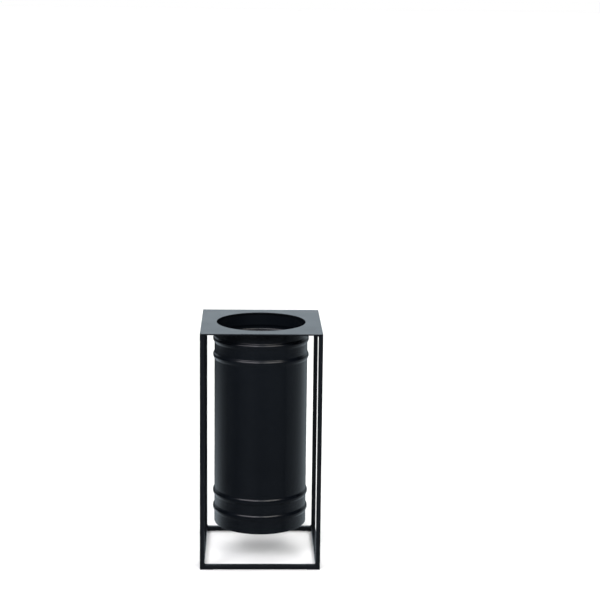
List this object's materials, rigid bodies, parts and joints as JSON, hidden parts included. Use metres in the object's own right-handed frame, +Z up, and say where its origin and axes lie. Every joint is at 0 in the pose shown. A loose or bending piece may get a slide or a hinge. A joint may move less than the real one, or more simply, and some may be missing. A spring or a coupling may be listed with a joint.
{
  "type": "umbrella stand",
  "caption": "Upright umbrella stand: a round canister with rolled beads hangs under a square top plate with a round hole, inside an open frame of square bar.",
  "frame": {"origin": "on the floor, under the centre of the square frame", "axes": "+Z up, -Y out of the front, +X to the right seen from the front"},
  "size_m": [0.22, 0.22, 0.442],
  "materials": {
    "frame_coat": "satin black powder coat on square steel bar and plate",
    "canister_coat": "satin black powder coat on sheet steel",
    "pad_rubber": "matt black, self-adhesive"
  },
  "bodies": {
    "root": {"top_plate": "frame_coat", "front_left_post": "frame_coat", "front_right_post": "frame_coat", "rear_left_post": "frame_coat", "rear_right_post": "frame_coat", "front_base_bar": "frame_coat", "rear_base_bar": "frame_coat", "left_base_bar": "frame_coat", "right_base_bar": "frame_coat", "front_left_crosswise_bar_weld": "frame_coat", "front_left_lengthwise_bar_weld": "frame_coat", "front_left_crosswise_plate_weld": "frame_coat", "front_left_lengthwise_plate_weld": "frame_coat", "front_right_crosswise_bar_weld": "frame_coat", "front_right_lengthwise_bar_weld": "frame_coat", "front_right_crosswise_plate_weld": "frame_coat", "front_right_lengthwise_plate_weld": "frame_coat", "rear_left_crosswise_bar_weld": "frame_coat", "rear_left_lengthwise_bar_weld": "frame_coat", "rear_left_crosswise_plate_weld": "frame_coat", "rear_left_lengthwise_plate_weld": "frame_coat", "rear_right_crosswise_bar_weld": "frame_coat", "rear_right_lengthwise_bar_weld": "frame_coat", "rear_right_crosswise_plate_weld": "frame_coat", "rear_right_lengthwise_plate_weld": "frame_coat", "canister_wall": "canister_coat", "canister_base": "canister_coat", "canister_rim_weld_1": "canister_coat", "canister_rim_weld_2": "canister_coat", "canister_rim_weld_3": "canister_coat", "canister_rim_weld_4": "canister_coat", "canister_rim_weld_5": "canister_coat", "canister_rim_weld_6": "canister_coat", "canister_rim_weld_7": "canister_coat", "canister_rim_weld_8": "canister_coat", "front_left_floor_pad": "pad_rubber", "front_right_floor_pad": "pad_rubber", "rear_left_floor_pad": "pad_rubber", "rear_right_floor_pad": "pad_rubber"}
  },
  "joints": []
}
